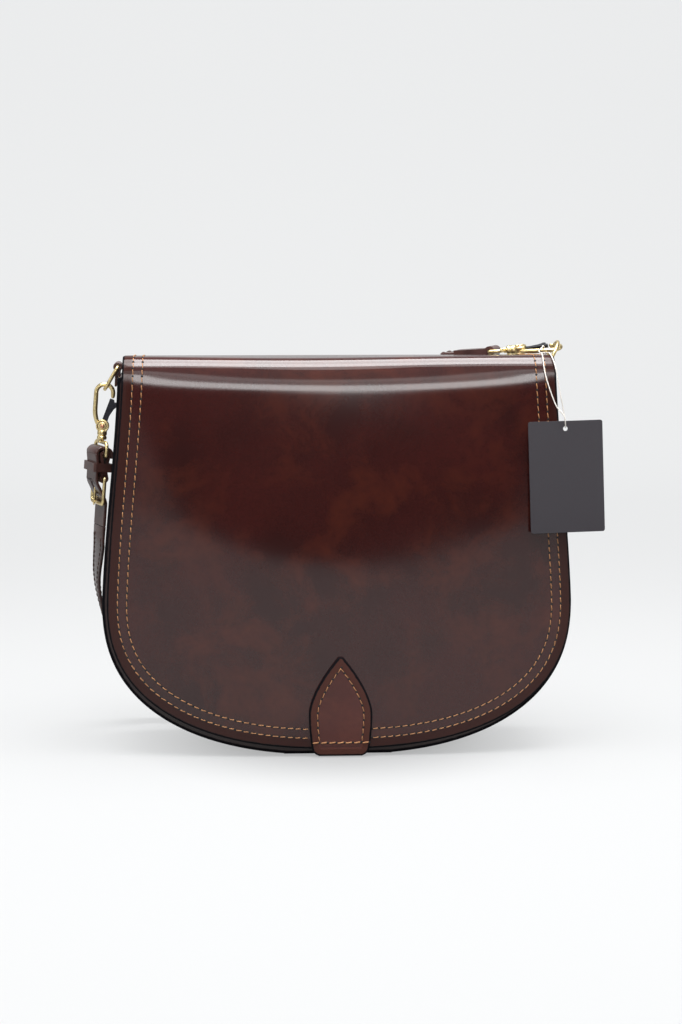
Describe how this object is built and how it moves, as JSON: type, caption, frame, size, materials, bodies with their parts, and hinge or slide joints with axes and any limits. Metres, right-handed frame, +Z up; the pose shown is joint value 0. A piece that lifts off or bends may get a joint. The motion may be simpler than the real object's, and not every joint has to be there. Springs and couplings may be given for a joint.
{
  "type": "bell bag",
  "caption": "Bell-shaped leather saddle bag with a full flap, pull tab, D-rings, swivel snap hooks, adjustable carrying strap and a blank swing tag.",
  "frame": {"origin": "middle of the bag's flat bottom, on the surface that it stands on", "axes": "+Z up, the flap faces -Y, +X is to the right of someone who looks at the flap"},
  "size_m": [0.3532, 0.1435, 0.277],
  "materials": {
    "flap_leather": "waxed brown leather, darker edges",
    "strap_leather": "dark brown strap leather",
    "brass": "old brass plated hardware",
    "plated_steel": "dull plated steel",
    "copper": "copper pin heads",
    "card": "dark matt card",
    "string": "off-white cotton string"
  },
  "bodies": {
    "bag_body": {"back_panel": "flap_leather", "front_panel": "flap_leather", "gusset_left": "flap_leather", "gusset_base": "flap_leather", "gusset_right": "flap_leather", "snap_socket_half": "brass", "snap_back_plate": "plated_steel", "left_ring_tab": "strap_leather", "right_ring_tab": "strap_leather", "strap_folds": "strap_leather", "strap_left_run": "strap_leather", "strap_right_run": "strap_leather"},
    "flap_top_half": {"flap_top": "flap_leather"},
    "flap_front_half": {"flap_front": "flap_leather", "flap_tab": "flap_leather", "flap_tab_lining": "flap_leather", "snap_plug_half": "brass", "tag_string": "string"},
    "tag": {"swing_tag": "card"},
    "left_ring": {"left_d_ring": "brass"},
    "left_strap_end": {"left_swivel_eye": "brass", "buckle_strap": "strap_leather", "buckle_frame": "brass", "strap_left_end": "strap_leather", "strap_keeper": "strap_leather"},
    "left_hook": {"left_hook_body": "brass", "left_gate_pin": "copper"},
    "left_gate": {"left_hook_gate": "plated_steel"},
    "prong": {"buckle_prong": "brass"},
    "right_ring": {"right_d_ring": "brass"},
    "right_strap_end": {"right_swivel_eye": "brass", "strap_right_end": "strap_leather"},
    "right_hook": {"right_hook_body": "brass", "right_gate_pin": "copper"},
    "right_gate": {"right_hook_gate": "plated_steel"}
  },
  "joints": [
    {"name": "flap_fold", "type": "hinge", "parent": "bag_body", "child": "flap_top_half", "pos_m": [0, 0.012, 0.26787], "axis": [-1, 0, 0], "range_deg": [0, 90], "deforming": ["tag_string"]},
    {"name": "flap_lift", "type": "hinge", "parent": "flap_top_half", "child": "flap_front_half", "pos_m": [0, -0.04489, 0.26679], "axis": [-1, 0, 0], "range_deg": [0, 100], "deforming": ["tag_string"]},
    {"name": "tag_swing", "type": "hinge", "parent": "flap_front_half", "child": "tag", "pos_m": [0.152, -0.0536, 0.2216], "axis": [0.0314, -0.9989, 0.0349], "range_deg": [-20, 20], "deforming": ["tag_string"]},
    {"name": "left_strap_swing", "type": "hinge", "parent": "bag_body", "child": "left_strap_end", "pos_m": [-0.14902, 0.027, 0.2596], "axis": [0, 1, 0], "range_deg": [0, 75], "deforming": ["strap_left_run"]},
    {"name": "left_ring_swing", "type": "hinge", "parent": "bag_body", "child": "left_ring", "pos_m": [-0.14902, 0.027, 0.2596], "axis": [0, 1, 0], "range_deg": [0, 75]},
    {"name": "left_hook_swivel", "type": "hinge", "parent": "left_strap_end", "child": "left_hook", "pos_m": [-0.16106, 0.027, 0.20877], "axis": [0.0765, 0, 0.9971], "range_deg": [-20, 20]},
    {"name": "left_gate_press", "type": "hinge", "parent": "left_hook", "child": "left_gate", "pos_m": [-0.16034, 0.027, 0.21814], "axis": [0, -1, 0], "range_deg": [0, 20], "stiffness_Nm_per_rad": 0.02, "springref_deg": -11.46},
    {"name": "prong_lift", "type": "hinge", "parent": "left_strap_end", "child": "prong", "pos_m": [-0.16307, 0.027, 0.18255], "axis": [-0.3735, 0.9272, 0.0286], "range_deg": [0, 10]},
    {"name": "right_strap_swing", "type": "hinge", "parent": "bag_body", "child": "right_strap_end", "pos_m": [0.14902, 0.027, 0.2596], "axis": [0, 1, 0], "range_deg": [0, 75], "deforming": ["strap_right_run", "tag_string"]},
    {"name": "right_ring_swing", "type": "hinge", "parent": "bag_body", "child": "right_ring", "pos_m": [0.14902, 0.027, 0.2596], "axis": [0, 1, 0], "range_deg": [0, 75]},
    {"name": "right_hook_swivel", "type": "hinge", "parent": "right_strap_end", "child": "right_hook", "pos_m": [0.12471, 0.0475, 0.26907], "axis": [0.9374, -0.3412, 0.0698], "range_deg": [-10, 10], "deforming": ["tag_string"]},
    {"name": "right_gate_press", "type": "hinge", "parent": "right_hook", "child": "right_gate", "pos_m": [0.13352, 0.0443, 0.26972], "axis": [0.1518, 0.2202, -0.9636], "range_deg": [0, 20], "stiffness_Nm_per_rad": 0.02, "springref_deg": -11.46}
  ],
  "couplings": [
    {"joint": "left_ring_swing", "follows": "left_strap_swing", "ratio": 1},
    {"joint": "right_ring_swing", "follows": "right_strap_swing", "ratio": 1}
  ]
}
